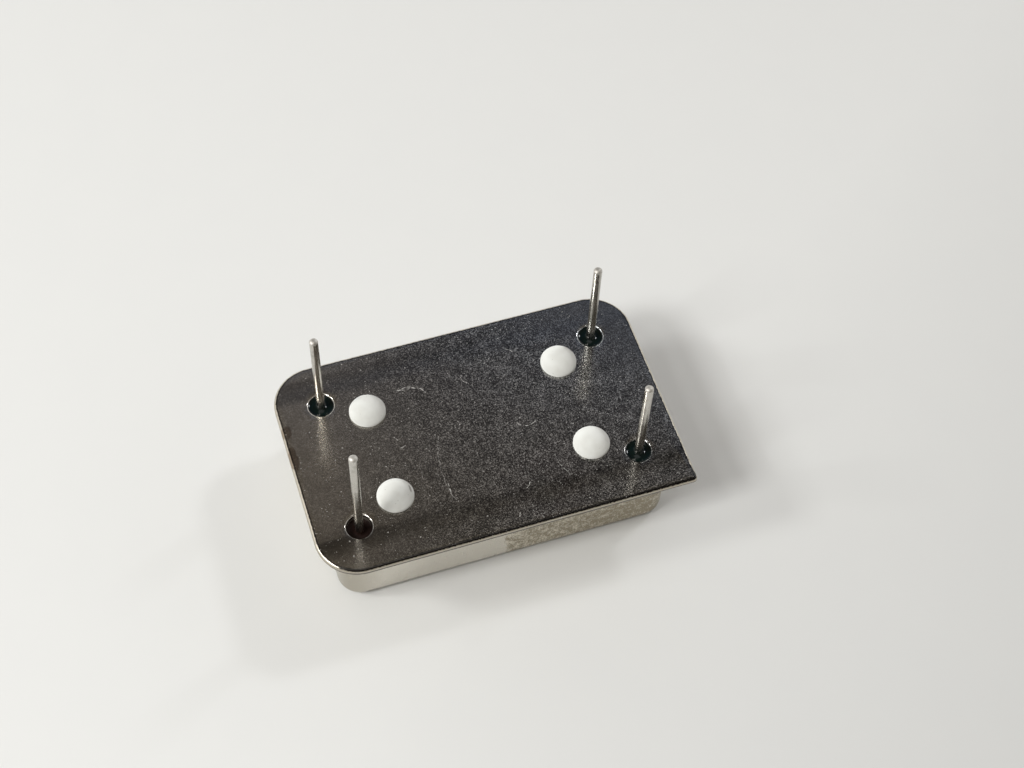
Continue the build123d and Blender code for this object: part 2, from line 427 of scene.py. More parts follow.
headerFinish = {
    "dark": (0.10, 0.098, 0.094),
    "light": (0.97, 0.95, 0.91),
    "warm": (1.0, 0.965, 0.91),
    "warmRange": (1.0 * mm, -9.0 * mm),     # along X; painted reflection tint, warmer towards -X
    "cool": (0.90, 0.95, 1.0),
    "coolRange": (2.0 * mm, 12.0 * mm),     # along X + Y; painted reflection tint, cooler towards +X +Y
    "side": (0.52, 0.48, 0.40),     # sheared edge, without grain
    "sideSoft": (-0.01 * mm, 0.02 * mm),
    "sideRoughness": 0.15,          # added to the plate's
    "grainSize": 0.065 * mm,
    "grainDepth": 0.0012 * mm,
    "grainDrift": (0.7 * mm, 0.20),         # size and amount
    "grainRange": (0.38, 0.66),
    "grainPower": 1.5,
    "grainMiddle": 0.34,            # tone where the grain fades out
    "grainAlong": (-9.0 * mm, 1.0 * mm, 0.5, 1.0),      # from and to along X, strength at each
    "grainCorner": (8.0 * mm, 13.0 * mm, 1.0, 0.45),    # the same along X + Y
    "smoothRange": (-9.0 * mm, -2.5 * mm),  # along X, from smooth to grained
    "smoothTone": 0.36,
    "scatter": 0.30,                # how much light the highest grain scatters
    "scatterRange": (0.55, 0.72),
    "roughness": (0.17, 0.22),
    "edgeLine": (0.20 * mm, 0.12 * mm),     # painted dark reflection inside the rolled edge: from and to
    "edgeLineNear": (0.20 * mm, 0.05 * mm), # the same along the -Y side
    "edgeNear": (-5.4 * mm, -6.0 * mm),     # where the -Y side begins
    "edgeLineSoft": 0.05 * mm,
    "edgeLineDepth": 0.15 * mm,             # below the face
    "edgeWear": (0.14 * mm, 0.10 * mm),     # size and reach of the unevenness
    "edgeShade": 0.12,
    # painted shade in the gap between the header's rim and the can's flange
    "seamShade": (0.10, 0.085, 0.07),
    "seamHeight": 0.13 * mm,
    "seamFull": 0.6,                # share of that height that is fully shaded
    "cloudSize": 3.0 * mm,
    "across": (                     # y in mm and how bright the painted reflection band is there
        (-6.35, 0.80), (-5.35, 0.82), (-4.95, 0.64), (-4.55, 0.54), (-4.24, 0.55),
        (-4.12, 0.78), (-3.4, 0.93), (0.0, 1.0), (4.2, 1.04), (4.55, 0.84),
        (5.1, 0.86), (5.5, 0.84), (5.75, 1.08), (6.35, 1.08),
    ),
    "acrossFull": 1.1,              # brightness that leaves the colour as it is, with no painted band
    "acrossEven": (0.0, 6.0 * mm),  # along X, where the painted +Y bands fade out
    "stain": (0.62, 0.56, 0.52),
    "stains": ((-9.80, 2.66, 0.30, 0.42), (-9.82, 0.95, 0.24, 0.75)),     # x, y and half sizes in mm
    "stainWobble": 0.5 * mm,
    "stainEdge": (1.6, 1.35),
    "specks": ((0.60 * mm, 0.06 * mm, 0.15), (0.30 * mm, 0.035 * mm, 0.25)),    # spacing, radius, share
    "flecks": (0.11 * mm, 0.68, 0.74),      # size and range of the noise
    "fleckFields": (1.2 * mm, 0.42, 0.58),
    "dustTone": 0.5,
    "marksTop": 0.8,                # the most that hairs and dust cover
    "hair": (0.72, 0.71, 0.67),
    "hairWidth": 0.033 * mm,
    "hairDrift": (0.4 * mm, 0.18 * mm),     # size and reach
    "hairBreaks": (0.12 * mm, 0.35, 0.55),
    "hairs": (                      # strength, then three points in mm
        (0.95, (-3.58, 3.41), (-2.73, 3.49), (-2.09, 2.99)),
        (0.60, (-3.54, 3.52), (-3.08, 3.43), (-2.58, 3.45)),
        (0.80, (2.04, -0.32), (2.46, -0.62), (2.94, -0.50)),
        (0.40, (-2.21, 0.12), (-2.67, -1.84), (-2.58, -3.27)),
        (0.85, (-2.54, -2.75), (-2.57, -3.00), (-2.55, -3.27)),
        (0.60, (3.30, -2.90), (3.40, -3.40), (3.70, -4.00)),
        (0.80, (-0.03, 3.32), (0.09, 3.07), (0.22, 2.86)),
        (0.60, (2.86, 4.33), (3.07, 4.19), (3.25, 4.01)),
        (0.95, (1.28, -4.24), (1.42, -4.08), (1.52, -3.92)),
        (0.90, (0.37, -5.72), (0.45, -5.60), (0.51, -5.46)),
        (0.60, (-4.48, 0.79), (-4.39, 0.68), (-4.34, 0.55)),
        (0.60, (-4.30, 0.02), (-4.16, 0.03), (-4.01, 0.10)),
        (0.40, (-3.67, -1.53), (-3.69, -1.77), (-3.75, -2.05)),
        (1.00, (-5.04, -0.90), (-4.98, -0.93), (-4.93, -0.90)),
        (1.00, (-2.67, 4.80), (-2.69, 4.77), (-2.67, 4.74)),
    ),
}


def edgeReach(tree, split):
    # distance beyond the header's outline, worked out as for a rounded rectangle
    half = (headerHigh - headerLow) / 2
    index = maths(tree, "MULTIPLY", maths(tree, "GREATER_THAN", split["X"], 0.0),
                  maths(tree, "LESS_THAN", split["Y"], 0.0))
    radius = ranged(tree, index, 0.0, 1.0, headerLook["cornerRadius"], headerLook["indexRadius"])
    past = []
    for axis, size in (("X", half.x), ("Y", half.y)):
        far = maths(tree, "SUBTRACT", maths(tree, "ABSOLUTE", split[axis]), size)
        past.append(maths(tree, "MAXIMUM", maths(tree, "ADD", far, radius), 0.0))
    corner = addNode(tree, "ShaderNodeCombineXYZ", {"X": past[0], "Y": past[1]}).outputs[0]
    return maths(tree, "SUBTRACT", lengthOf(tree, corner), radius)


def makeHeaderNickel():
    look = headerFinish
    material, tree, shader, place = newFinish("headerNickel", metallic=1.0)
    split = splitUp(tree, place)
    level = vectorMaths(tree, "MULTIPLY", place, (1, 1, 0))

    # etched grain, stronger towards +X and weaker again at the +X +Y corner
    fine = noise(tree, place, look["grainSize"], detail=3.0, roughness=0.7)
    drifts = uneven(tree, level, *look["grainDrift"], detail=3.0)
    diagonal = maths(tree, "ADD", split["X"], split["Y"])
    strength = ranged(tree, split["X"], *look["grainAlong"])
    strength = maths(tree, "MULTIPLY", strength, ranged(tree, diagonal, *look["grainCorner"]))
    grain = ranged(tree, maths(tree, "ADD", fine, drifts), *look["grainRange"])
    grain = maths(tree, "POWER", grain, look["grainPower"])
    middle = look["grainMiddle"]
    grain = maths(tree, "MULTIPLY_ADD", maths(tree, "SUBTRACT", grain, middle), strength, middle)
    tone = mixed(tree, grain, look["dark"], look["light"])
    smooth = ranged(tree, split["X"], *look["smoothRange"], 1.0, 0.0)
    tone = mixed(tree, maths(tree, "MULTIPLY", smooth, look["smoothTone"]), tone, look["light"])
    # painted reflection tint: warmer towards -X, cooler towards +X +Y
    tone = mixed(tree, ranged(tree, split["X"], *look["warmRange"]), tone, look["warm"], "MULTIPLY")
    tone = mixed(tree, ranged(tree, diagonal, *look["coolRange"]), tone, look["cool"], "MULTIPLY")

    # painted reflection bands along the coined long sides: lighter and darker stripes where the slopes
    # would mirror the room differently
    across = look["across"]
    first, last = across[0][0], across[-1][0]
    crosswise = ranged(tree, split["Y"], first * mm, last * mm)
    bands = addNode(tree, "ShaderNodeValToRGB", {"Fac": crosswise})
    stops = bands.color_ramp.elements
    while len(stops) < len(across):
        stops.new(0.5)
    for stop, (y, bright) in zip(stops, across):
        grey = bright / look["acrossFull"]
        stop.position = (y - first) / (last - first)
        stop.color = (grey, grey, grey, 1.0)
    even = ranged(tree, split["X"], *look["acrossEven"])
    even = maths(tree, "MULTIPLY", even, maths(tree, "GREATER_THAN", split["Y"], 0.0))
    tone = mixed(tree, maths(tree, "SUBTRACT", 1.0, even), tone, bands.outputs["Color"], "MULTIPLY")
    tone = mixed(tree, smooth, tone, bands.outputs["Color"], "MULTIPLY")

    # the sheared side is plain, and a painted dark reflection runs along its upper edge
    reach = maths(tree, "ADD", edgeReach(tree, split), uneven(tree, place, *look["edgeWear"]))
    near = ranged(tree, split["Y"], *look["edgeNear"])
    begin, end = (ranged(tree, near, 0.0, 1.0, far, close)
                  for far, close in zip(look["edgeLine"], look["edgeLineNear"]))
    side = ranged(tree, maths(tree, "ADD", reach, end), *look["sideSoft"])
    tone = mixed(tree, side, tone, look["side"])
    # painted dark reflection: black where the rolled edge would mirror the dark room
    line = ranged(tree, maths(tree, "ADD", reach, begin), 0.0, look["edgeLineSoft"])
    line = maths(tree, "SUBTRACT", line, side)
    high = maths(tree, "GREATER_THAN", split["Z"], faceZ - look["edgeLineDepth"])
    line = maths(tree, "MULTIPLY", line, high)
    tone = mixed(tree, maths(tree, "MULTIPLY", line, 1 - look["edgeShade"]), tone, black)

    # dark stains at the -X edge
    wobble = noise(tree, place, look["stainWobble"])
    for x, y, halfX, halfY in look["stains"]:
        away = vectorMaths(tree, "SUBTRACT", level, (x * mm, y * mm, 0))
        away = vectorMaths(tree, "DIVIDE", away, (halfX * mm, halfY * mm, 1))
        spread = maths(tree, "ADD", lengthOf(tree, away), wobble)
        tone = mixed(tree, ranged(tree, spread, *look["stainEdge"]), tone, look["stain"], "MULTIPLY")

    # fine curved scratches and specks that scatter light
    driftSize, driftReach = look["hairDrift"]
    drift = addNode(tree, "ShaderNodeTexNoise", {"Vector": level, "Scale": 1 / driftSize, "Detail": 1.0})
    shift = vectorMaths(tree, "SUBTRACT", drift.outputs["Color"], (0.5, 0.5, 0.5))
    shift = vectorMaths(tree, "MULTIPLY", shift, (driftReach, driftReach, 0))
    hairs = hairMasks(tree, vectorMaths(tree, "ADD", level, shift), look["hairs"], look["hairWidth"])
    hairs = maths(tree, "MULTIPLY", hairs, patchy(tree, place, *look["hairBreaks"]))
    flecks = patchy(tree, level, *look["flecks"], detail=1.0)
    dust = maths(tree, "MULTIPLY", flecks, patchy(tree, level, *look["fleckFields"]))
    for sizes in look["specks"]:
        dust = maths(tree, "MAXIMUM", dust, dots(tree, level, *sizes))
    dust = maths(tree, "MULTIPLY", dust, look["dustTone"])
    marks = maths(tree, "MINIMUM", maths(tree, "ADD", hairs, dust), look["marksTop"])
    tone = mixed(tree, marks, tone, look["hair"])

    # painted shade in the seam under the rim
    shadeSpan = look["seamHeight"]
    seamShade = ranged(tree, split["Z"], rimZ + shadeSpan, rimZ + look["seamFull"] * shadeSpan)
    tone = mixed(tree, seamShade, tone, look["seamShade"])

    # grain tops, marks and the painted seam shade scatter light, the rest is bare metal
    glints = maths(tree, "MULTIPLY", ranged(tree, fine, *look["scatterRange"]), look["scatter"])
    glints = maths(tree, "MULTIPLY", glints, maths(tree, "SUBTRACT", strength, side))
    loose = maths(tree, "ADD", marks, maths(tree, "MAXIMUM", glints, 0.0))
    loose = maths(tree, "MAXIMUM", loose, seamShade)

    rough = roughened(tree, noise(tree, place, look["cloudSize"]), *look["roughness"])
    plug(
        tree, shader,
        Base_Color=tone,
        Metallic=maths(tree, "SUBTRACT", 1.0, loose),
        Roughness=maths(tree, "MULTIPLY_ADD", side, look["sideRoughness"], rough),
        Normal=bumped(tree, fine, look["grainDepth"]),
    )
    return material


# Can: one drawn sheet, made of level loops that follow its section

canLook = {
    "sheet": 0.25 * mm,
    "flange": 0.88 * mm,
    "cornerRadius": 1.25 * mm,
    "flangeRadius": 2.17 * mm,
    "faceRadius": 0.7 * mm,
    "bendRadius": 0.15 * mm,
    "edgeRoll": 0.05 * mm,
    "supportGap": 0.02 * mm,
    "cornerSteps": 20,
    "steps": 8,
}


def makeCan():
    look = canLook
    sheet, flange, face = look["sheet"], look["flange"], look["faceRadius"]
    bend, roll, steps = look["bendRadius"], look["edgeRoll"], look["steps"]
    inner = face - sheet
    mouth = bend + sheet
    section = [(-face - look["supportGap"], 0), (-face, 0)]     # how far outside the wall, and z
    section += quarter((-face, 0), (0, face), steps, "out")
    section.append((0, rimZ - sheet - bend))
    section += quarter((0, rimZ - sheet - bend), (bend, rimZ - sheet), steps, "up")
    section.append((flange - roll, rimZ - sheet))
    section += quarter((flange - roll, rimZ - sheet), (flange, rimZ - sheet + roll), 4, "out")
    section.append((flange, rimZ - roll))
    section += quarter((flange, rimZ - roll), (flange - roll, rimZ), 4, "up")
    section.append((bend, rimZ))
    section += quarter((bend, rimZ), (-sheet, rimZ - mouth), steps, "out")
    section.append((-sheet, sheet + inner))
    section += quarter((-sheet, sheet + inner), (-face, sheet), steps, "up")
    section.append((-face - look["supportGap"], sheet))

    bm = bmesh.new()
    widen = (look["flangeRadius"] - look["cornerRadius"]) / flange
    rings = []
    for out, z in section:
        radius = look["cornerRadius"] + out * (widen if out > 0 else 1)
        halfX = canHigh.x - flange + out
        halfY = canHigh.y - flange + out
        loop = roundedLoop(halfX, halfY, [radius] * 4, look["cornerSteps"])
        rings.append(addRing(bm, [(p.x, p.y, z) for p in loop]))
    skinRings(bm, rings)
    bm.faces.new(rings[0])
    bm.faces.new(rings[-1])
    return finishPiece("can_shell", bm)


canFinish = {
    "clean": (0.66, 0.63, 0.57),
    "stained": (0.30, 0.26, 0.185),
    "pale": (0.70, 0.66, 0.57),
    "nearWall": (-4.6 * mm, -5.2 * mm),       # the stained -Y wall
    "stainEdge": (0.7 * mm, 1.6 * mm),        # size and reach of the stain's uneven start
    "stainStart": (0.66 * mm, 0.80 * mm),
    "stainRange": (0.43, 0.62),               # of the noise, from stained to pale
    "stainAlong": (0.0, 8.0 * mm, -0.02, 0.08),     # from and to along X, and how much denser
    "stainRoughness": 0.2,                    # added to the wall's
    "stainCover": 0.3,                        # how much of the metal it hides
    "grit": (0.09 * mm, 0.4),                 # size and amount
    "patchSize": 0.36 * mm,
    "patchDepth": 0.012 * mm,
    "seamDepth": 0.20 * mm,
    "seamFull": 0.8,                          # share of that depth at which the painted shade is full
    "footShadeHeight": (0.10 * mm, 0.65 * mm),     # painted shade near the floor
    "footShade": 0.80,
    "endRange": (-8.7 * mm, -6.8 * mm),       # darker towards the -X end
    "endShade": (0.66, 0.64, 0.60),
    "drawnSize": 0.05 * mm,
    "drawnStretch": 0.15,                     # drawing marks run up the wall
    "drawnDepth": 0.0006 * mm,
    "drawnTone": 0.25,
    "roughness": (0.20, 0.28),
}


def makeCanNickel():
    look = canFinish
    material, tree, shader, place = newFinish("canNickel", metallic=1.0)
    split = splitUp(tree, place)
    tall = vectorMaths(tree, "MULTIPLY", place, (1, 1, look["drawnStretch"]))
    drawn = noise(tree, tall, look["drawnSize"])
    patches = noise(tree, place, look["patchSize"], detail=5.0, roughness=0.7)

    # mottled stain on the -Y wall, from the middle to the +X end
    edgeSize, edgeShift = look["stainEdge"]
    ragged = noise(tree, place, edgeSize, detail=4.0, roughness=0.6)
    start = maths(tree, "MULTIPLY_ADD", ragged, edgeShift, split["X"])
    ahead = ranged(tree, start, *look["stainStart"])
    stain = maths(tree, "MULTIPLY", ahead, ranged(tree, split["Y"], *look["nearWall"]))
    worn = maths(tree, "SUBTRACT", patches, ranged(tree, split["X"], *look["stainAlong"]))
    worn = maths(tree, "ADD", worn, uneven(tree, place, *look["grit"], detail=3.0))
    mottle = mixed(tree, ranged(tree, worn, *look["stainRange"]), look["stained"], look["pale"])
    tone = mixed(tree, maths(tree, "MULTIPLY", drawn, look["drawnTone"]), look["clean"], look["pale"])
    tone = mixed(tree, stain, tone, mottle)
    # painted shade: darker towards the floor
    foot = ranged(tree, split["Z"], *look["footShadeHeight"], 1 - look["footShade"], 0.0)
    tone = mixed(tree, foot, tone, black)
    dull = mixed(tree, ranged(tree, split["X"], *look["endRange"]), look["endShade"], white)
    tone = mixed(tree, 1.0, tone, dull, "MULTIPLY")
    rough = roughened(tree, drawn, *look["roughness"])
    fine = bumped(tree, drawn, look["drawnDepth"])
    height = maths(tree, "MULTIPLY", patches, stain)
    # painted shade in the gap under the header's rim, on the flange's upper edge
    shadeSpan = look["seamDepth"]
    seamShade = ranged(tree, split["Z"], rimZ - shadeSpan, rimZ - look["seamFull"] * shadeSpan)
    metal = maths(tree, "MULTIPLY_ADD", stain, -look["stainCover"], 1.0)
    plug(
        tree, shader,
        Base_Color=mixed(tree, seamShade, tone, headerFinish["seamShade"]),
        Roughness=maths(tree, "MULTIPLY_ADD", stain, look["stainRoughness"], rough),
        Metallic=maths(tree, "SUBTRACT", metal, seamShade),
        Normal=bumped(tree, height, look["patchDepth"], fine),
    )
    return material


# Pins, glass seals and white beads: turned shapes, each set out on its places by one geometry tree

def buildGridTree():
    tree = bpy.data.node_groups.new("setOnPinGrid", "GeometryNodeTree")
    tree.is_modifier = True
    wanted = (("Geometry", "Geometry"), ("Grid X", "Float"), ("Grid Y", "Float"),
              ("Skip Ground", "Bool"), ("Ground Extra", "Float"), ("Stretch Above", "Float"),
              ("Seed", "Int"), ("Finish", "Material"))
    for name, kind in wanted:
        tree.interface.new_socket(name, in_out="INPUT", socket_type="NodeSocket" + kind)
    tree.interface.new_socket("Geometry", in_out="OUTPUT", socket_type="NodeSocketGeometry")
    given = tree.nodes.new("NodeGroupInput").outputs

    def compared(operation, first, second):
        node = addNode(tree, "FunctionNodeCompare", {0: first, 1: second}, operation=operation)
        return node.outputs[0]

    def logic(operation, first, second):
        node = addNode(tree, "FunctionNodeBooleanMath", {0: first, 1: second}, operation=operation)
        return node.outputs[0]

    def atGround():
        position = tree.nodes.new("GeometryNodeInputPosition").outputs[0]
        spot = splitUp(tree, position)
        left = compared("LESS_THAN", spot["X"], 0.0)
        near = compared("LESS_THAN", spot["Y"], 0.0)
        return logic("AND", left, near), spot["Z"]

    taken = logic("NAND", atGround()[0], given["Skip Ground"])
    grid = addNode(tree, "GeometryNodeMeshGrid", {
        "Size X": given["Grid X"], "Size Y": given["Grid Y"], "Vertices X": 2, "Vertices Y": 2,
    })
    turn = addNode(tree, "FunctionNodeRandomValue", {2: 0.0, 3: 2 * math.pi, "Seed": given["Seed"]})
    spin = addNode(tree, "ShaderNodeCombineXYZ", {"Z": turn.outputs[1]})
    facing = addNode(tree, "FunctionNodeEulerToRotation", {0: spin.outputs[0]})
    placed = addNode(tree, "GeometryNodeInstanceOnPoints", {
        "Points": grid.outputs["Mesh"], "Selection": taken,
        "Instance": given["Geometry"], "Rotation": facing.outputs[0],
    })
    real = addNode(tree, "GeometryNodeRealizeInstances", {0: placed.outputs[0]})
    ground, height = atGround()
    upper = logic("AND", ground, compared("GREATER_THAN", height, given["Stretch Above"]))
    extra = addNode(tree, "ShaderNodeCombineXYZ", {"Z": given["Ground Extra"]})
    stretched = addNode(tree, "GeometryNodeSetPosition", {
        "Geometry": real.outputs[0], "Selection": upper, "Offset": extra.outputs[0],
    })
    painted = addNode(tree, "GeometryNodeSetMaterial", {
        "Geometry": stretched.outputs[0], "Material": given["Finish"],
    })
    out = tree.nodes.new("NodeGroupOutput")
    tree.links.new(painted.outputs[0], out.inputs[0])
    return tree


def setOnGrid(piece, material, spot, seed, skipGround=False, groundExtra=0.0, stretchAbove=0.0):
    modifier = piece.modifiers.new("setOnPinGrid", "NODES")
    modifier.node_group = gridTree
    items = gridTree.interface.items_tree
    sockets = {item.name: item.identifier for item in items if item.in_out == "INPUT"}
    values = {
        "Grid X": 2 * spot.x, "Grid Y": 2 * abs(spot.y), "Skip Ground": skipGround,
        "Ground Extra": groundExtra, "Stretch Above": stretchAbove, "Seed": seed, "Finish": material,
    }
    for name, value in values.items():
        modifier[sockets[name]] = value
    evaluated = piece.evaluated_get(bpy.context.evaluated_depsgraph_get())
    mesh = bpy.data.meshes.new_from_object(evaluated)
    piece.modifiers.remove(modifier)
    piece.data = mesh
    return piece


pinLook = {"tipRadius": 0.16 * mm, "steps": 48, "tipSteps": 8, "seed": 4}


def makePins(material):
    look = pinLook
    tip = look["tipRadius"]
    profile = [(0, pinLow.z), (pinRadius, pinLow.z), (pinRadius, faceZ), (pinRadius, pinHigh.z - tip)]
    profile += quarter((pinRadius, pinHigh.z - tip), (0, pinHigh.z), look["tipSteps"], "up")
    pins = turned("pins", profile, look["steps"])
    return setOnGrid(
        pins, material, pinSpot, look["seed"],
        groundExtra=groundHigh.z - pinHigh.z, stretchAbove=faceZ + tip,
    )


sealLook = {        # drops below the header's face
    "wallDrop": 0.12 * mm, "sagDrop": 0.17 * mm, "pinDrop": 0.11 * mm,
    "lowAt": 0.55, "climb": 2, "curve": 24, "steps": 56, "seed": 9,
}
brazeLook = {
    "wallDrop": 0.42 * mm, "sagDrop": 0.47 * mm, "pinDrop": 0.30 * mm,
    "lowAt": 0.55, "climb": 3, "curve": 14, "steps": 56,
}


def meniscusRing(name, look):
    # sagging surface that climbs both the hole's wall and the pin, the pin higher
    inside, outside = pinRadius, holeRadius
    low = inside + look["lowAt"] * (outside - inside)
    profile = [(outside, innerZ)]
    for step in range(look["curve"] + 1):
        radius = outside + (inside - outside) * step / look["curve"]
        if radius > low:
            t = (radius - low) / (outside - low)
            drop = look["sagDrop"] + (look["wallDrop"] - look["sagDrop"]) * t * t
        else:
            t = (low - radius) / (low - inside)
            drop = look["sagDrop"] + (look["pinDrop"] - look["sagDrop"]) * t ** look["climb"]
        profile.append((radius, faceZ - drop))
    profile.append((inside, innerZ))
    return turned(name, profile, look["steps"], ring=True)


def makeSeals(material):
    seals = meniscusRing("glass_seals", sealLook)
    return setOnGrid(seals, material, pinSpot, sealLook["seed"], skipGround=True)


def makeBraze(material):
    braze = meniscusRing("ground_braze", brazeLook)
    for vertex in braze.data.vertices:
        vertex.co += Vector((groundSpot.x, groundSpot.y, 0))
    braze.data.materials.append(material)
    return braze


beadLook = {"side": 0.15 * mm, "foot": 0.03 * mm, "steps": 64, "curve": 18, "seed": 2}


def makeBeads(material):
    # a fired bead: short foot under a round dome
    look = beadLook
    base, top = beadLow.z, beadHigh.z
    side = base + look["side"]
    rise = top - side
    ball = (beadRadius ** 2 + rise ** 2) / (2 * rise)
    spread = math.asin(beadRadius / ball)
    profile = [(0, base), (beadRadius - look["foot"], base), (beadRadius, base + look["foot"])]
    for step in range(look["curve"]):
        angle = spread * (1 - step / look["curve"])
        profile.append((ball * math.sin(angle), top - ball + ball * math.cos(angle)))
    profile.append((0, top))
    beads = turned("standoff_beads", profile, look["steps"])
    return setOnGrid(beads, material, beadSpot, look["seed"])


gridTree = buildGridTree()

pinFinish = {
    "bright": (0.58, 0.56, 0.52),
    "dull": (0.36, 0.34, 0.30),
    "roughness": (0.18, 0.30),
    "tipRoughness": 0.55,
    "tipFull": 0.4,                 # share of the tip's radius that is all dull
    "lineSize": 0.06 * mm,
    "lineStretch": 0.03,            # drawing lines run along the wire
    "lineDepth": 0.0012 * mm,
    "blotSize": 0.35 * mm,
    "blotRange": (0.5, 0.75, 0.0, 0.7),     # of the noise, and how dull it gets
}


def makePinNickel():
    look = pinFinish
    material, tree, shader, place = newFinish("pinNickel", metallic=1.0)
    along = vectorMaths(tree, "MULTIPLY", place, (1, 1, look["lineStretch"]))
    lines = noise(tree, along, look["lineSize"])
    blots = noise(tree, place, look["blotSize"], detail=3.0)
    tone = mixed(tree, ranged(tree, blots, *look["blotRange"]), look["bright"], look["dull"])
    split = splitUp(tree, place)
    ground = maths(tree, "MULTIPLY", maths(tree, "LESS_THAN", split["X"], 0.0),
                   maths(tree, "LESS_THAN", split["Y"], 0.0))
    top = ranged(tree, ground, 0.0, 1.0, pinHigh.z, groundHigh.z)
    below = maths(tree, "SUBTRACT", top, split["Z"])
    tip = ranged(tree, below, pinLook["tipRadius"], look["tipFull"] * pinLook["tipRadius"])
    drawn = roughened(tree, lines, *look["roughness"])
    dull = maths(tree, "MULTIPLY", tip, maths(tree, "SUBTRACT", look["tipRoughness"], drawn))
    plug(
        tree, shader,
        Base_Color=tone,
        Roughness=maths(tree, "ADD", drawn, dull),
        Normal=bumped(tree, lines, look["lineDepth"]),
    )
    return material


sealFinish = {
    "dark": (0.001, 0.003, 0.003),
    "light": (0.003, 0.010, 0.009),
    "swirlSize": 0.25 * mm,
    "swirlDepth": 0.0012 * mm,
    "bubble": (0.10, 0.14, 0.13),
    "bubbles": (0.16 * mm, 0.018 * mm, 0.2),    # spacing, radius and share
    "bubbleTone": 0.25,
    "roughness": 0.06,
    "specular": 0.25,
}


def makeSealGlass():
    look = sealFinish
    material, tree, shader, place = newFinish("sealGlass", roughness=look["roughness"])
    shader.inputs["Specular IOR Level"].default_value = look["specular"]
    swirl = noise(tree, place, look["swirlSize"], detail=3.0)
    tone = mixed(tree, swirl, look["dark"], look["light"])
    bubbles = maths(tree, "MULTIPLY", dots(tree, place, *look["bubbles"]), look["bubbleTone"])
    plug(
        tree, shader,
        Base_Color=mixed(tree, bubbles, tone, look["bubble"]),
        Normal=bumped(tree, swirl, look["swirlDepth"]),
    )
    return material


brazeFinish = {
    "dark": (0.005, 0.002, 0.0015),
    "light": (0.022, 0.010, 0.007),
    "crustSize": 0.12 * mm,
    "crustDepth": 0.02 * mm,
    "roughness": (0.45, 0.75),
    "specular": 0.12,
}


def makeBrazeDark():
    look = brazeFinish
    material, tree, shader, place = newFinish("brazeDark")
    shader.inputs["Specular IOR Level"].default_value = look["specular"]
    crust = noise(tree, place, look["crustSize"], detail=4.0, roughness=0.65)
    plug(
        tree, shader,
        Base_Color=mixed(tree, crust, look["dark"], look["light"]),
        Roughness=roughened(tree, crust, *look["roughness"]),
        Normal=bumped(tree, crust, look["crustDepth"]),
    )
    return material


beadFinish = {
    "white": (0.79, 0.80, 0.775),
    "shade": (0.74, 0.745, 0.715),
    "shadeSize": 0.5 * mm,
    "shadeRange": (0.35, 0.7),
    "speck": (0.30, 0.29, 0.27),
    "specks": (0.15 * mm, 0.025 * mm, 0.14),    # spacing, radius and share
    "speckTone": 0.6,
    "pit": (-4.57, -2.68, 5.29),     # a chip on the bead by the ground pin, mm
    "pitHalf": (0.08, 0.25, 0.12),
    "pitEdge": (1.1, 0.7),
    "pitTone": 0.8,
    "poreSize": 0.07 * mm,
    "poreDepth": 0.003 * mm,
    "roughness": 0.55,
    "diffuseRoughness": 1.0,
}


def makeBeadWhite():
    look = beadFinish
    material, tree, shader, place = newFinish("beadWhite", roughness=look["roughness"])
    shader.inputs["Diffuse Roughness"].default_value = look["diffuseRoughness"]
    soft = patchy(tree, place, look["shadeSize"], *look["shadeRange"], detail=3.0)
    tone = mixed(tree, soft, look["white"], look["shade"])
    specks = dots(tree, place, *look["specks"])
    tone = mixed(tree, maths(tree, "MULTIPLY", specks, look["speckTone"]), tone, look["speck"])
    away = vectorMaths(tree, "SUBTRACT", place, Vector(look["pit"]) * mm)
    away = vectorMaths(tree, "DIVIDE", away, Vector(look["pitHalf"]) * mm)
    pit = ranged(tree, lengthOf(tree, away), *look["pitEdge"])
    tone = mixed(tree, maths(tree, "MULTIPLY", pit, look["pitTone"]), tone, look["speck"])
    pores = noise(tree, place, look["poreSize"])
    plug(tree, shader, Base_Color=tone, Normal=bumped(tree, pores, look["poreDepth"]))
    return material


# Inner pieces stay as the CAD solids and get their own finishes

innerFinishes = {
    # two colours, metallic, roughness range, grain size in mm
    "alumina": ((0.86, 0.85, 0.80), (0.79, 0.78, 0.73), 0.0, (0.5, 0.7), 0.08),
    "solder": ((0.70, 0.70, 0.71), (0.52, 0.52, 0.54), 1.0, (0.25, 0.45), 0.12),
    "clip_metal": ((0.68, 0.66, 0.60), (0.56, 0.53, 0.47), 1.0, (0.2, 0.35), 0.10),
    "silver_adhesive": ((0.64, 0.63, 0.61), (0.48, 0.47, 0.45), 0.5, (0.45, 0.7), 0.06),
    "silicon": ((0.20, 0.21, 0.25), (0.14, 0.15, 0.18), 0.6, (0.08, 0.2), 0.20),
    "bond_gold": ((0.90, 0.68, 0.28), (0.78, 0.55, 0.20), 1.0, (0.2, 0.3), 0.03),
    "capacitor_ceramic": ((0.52, 0.40, 0.27), (0.42, 0.32, 0.21), 0.0, (0.4, 0.6), 0.07),
}
innerDepth = 0.02       # of the bump, as a share of the grain size


def makeInnerFinish(slot, light, dark, metallic, roughness, grain):
    material, tree, shader, place = newFinish(slot, metallic=metallic)
    speckle = noise(tree, place, grain * mm, detail=3.0)
    plug(
        tree, shader,
        Base_Color=mixed(tree, speckle, light, dark),
        Roughness=roughened(tree, speckle, *roughness),
        Normal=bumped(tree, speckle, innerDepth * grain * mm),
    )
    return material


quartzFinish = {
    "light": (0.78, 0.77, 0.72),
    "dark": (0.70, 0.69, 0.64),
    "hazeSize": 0.4 * mm,
    "roughness": (0.08, 0.2),
    "electrode": (0.88, 0.68, 0.32),
    "electrodeRadius": 2.6 * mm,
    "tabHalf": 0.5 * mm,
}


